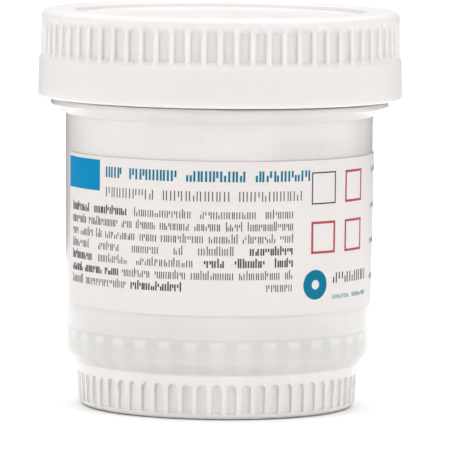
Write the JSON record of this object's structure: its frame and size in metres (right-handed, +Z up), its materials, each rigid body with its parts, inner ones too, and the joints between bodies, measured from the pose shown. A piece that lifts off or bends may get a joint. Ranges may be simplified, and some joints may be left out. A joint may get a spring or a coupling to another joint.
{
  "type": "specimen container",
  "caption": "Small translucent screw-lid specimen jar with a wrap-round printed label, ribbed lid and fluted foot ring.",
  "frame": {"origin": "centre of the foot ring on the surface the jar stands on", "axes": "+Z up along the jar's axis, the middle of the label's front faces -Y, +X to the label's right"},
  "size_m": [0.062, 0.062, 0.0675],
  "materials": {
    "jar_plastic": "milky translucent natural polypropylene, satin",
    "liner_foam": "white foamed sheet, matte",
    "lid_plastic": "opaque white moulded plastic, satin",
    "label_film": "white printed film, soft sheen",
    "ink_blue": "flat printed blue",
    "ink_teal": "flat printed teal",
    "ink_dark": "flat printed dark grey",
    "ink_red": "flat printed red"
  },
  "bodies": {
    "jar": {"jar": "jar_plastic", "label": "label_film", "label_print_blue": "ink_blue", "label_print_teal": "ink_teal", "label_print_dark": "ink_dark", "label_print_red": "ink_red"},
    "liner": {"liner": "liner_foam"},
    "lid": {"lid": "lid_plastic"}
  },
  "joints": [
    {"name": "lid_lift", "type": "slide", "parent": "jar", "child": "liner", "axis": [0, 0, 1], "range_m": [0, 0.0127]},
    {"name": "lid_turn", "type": "hinge", "parent": "liner", "child": "lid", "pos_m": [0, 0, 0.0642], "axis": [0, 0, 1], "range_deg": [0, 540]}
  ],
  "couplings": [
    {"joint": "lid_lift", "follows": "lid_turn", "m_per_rad": 0.0013465}
  ]
}
